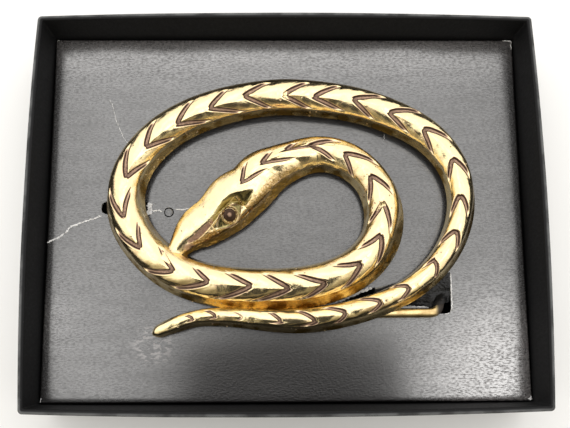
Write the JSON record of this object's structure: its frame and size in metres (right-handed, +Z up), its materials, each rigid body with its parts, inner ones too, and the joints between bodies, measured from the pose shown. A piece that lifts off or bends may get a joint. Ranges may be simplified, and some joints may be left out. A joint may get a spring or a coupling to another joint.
{
  "type": "snake belt buckle in gift box",
  "caption": "Domed cast snake belt buckle, coiled in two ovals with V-marked scales, on a black card insert in an open card box.",
  "frame": {"origin": "middle of the underside of the box", "axes": "+X to the right along the box's long side, +Y to its far side as it is read, +Z up out of the open box"},
  "size_m": [0.1236, 0.0966, 0.0225],
  "materials": {
    "cast_brass": "polished, dark patina in the grooves",
    "drawn_brass": "satin",
    "grained_card": "glossy leather-grained black paper on card",
    "box_board": "satin black paper on board"
  },
  "bodies": {
    "root": {"snake_casting": "cast_brass", "belt_loop": "drawn_brass", "hook_post": "drawn_brass", "insert_card": "grained_card", "box_tray": "box_board"}
  },
  "joints": []
}
